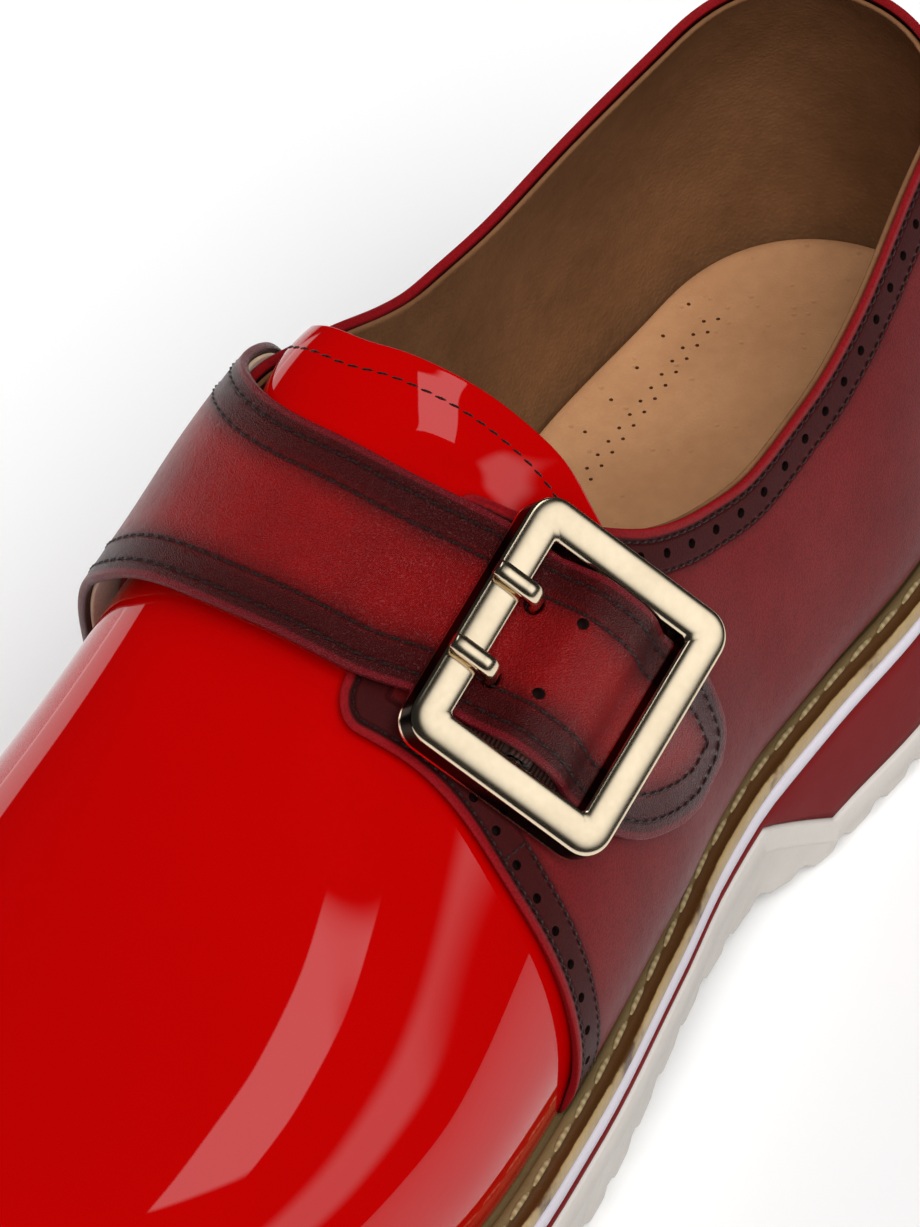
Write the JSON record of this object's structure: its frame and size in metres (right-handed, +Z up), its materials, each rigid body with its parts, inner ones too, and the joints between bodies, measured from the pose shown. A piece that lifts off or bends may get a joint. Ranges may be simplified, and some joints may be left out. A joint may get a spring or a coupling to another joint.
{
  "type": "monk strap shoe",
  "caption": "Left monk strap shoe with a patent vamp, a broad buckled strap, punched trim and a layered wedge sole.",
  "frame": {"origin": "on the floor, at the centre of the bounding box's base", "axes": "+X from toe to heel, +Y to the medial side, +Z up; the lateral side with the buckle faces -Y"},
  "size_m": [0.272, 0.1002, 0.1109],
  "materials": {
    "outsole": "cream moulded rubber, satin",
    "midsole": "burgundy foam, semi-matt",
    "midsole_stripe": "white foam layer, semi-matt",
    "welt": "tan welt with a stitched channel",
    "insole": "tan lining leather with pinholes, matt",
    "upper": "red patent vamp and burnished burgundy quarters, lined in tan leather",
    "patent": "red patent leather, very glossy",
    "strap": "red grained leather burnished dark at its edges",
    "buckle_metal": "polished pale gold plating",
    "elastic": "dark woven elastic"
  },
  "bodies": {
    "root": {"outsole": "outsole", "midsole": "midsole", "midsole_stripe": "midsole_stripe", "welt": "welt", "insole": "insole", "upper": "upper", "tongue": "patent", "strap": "strap", "buckle_frame": "buckle_metal", "prong_rear": "buckle_metal", "prong_front": "buckle_metal", "elastic_tab": "elastic"}
  },
  "joints": []
}
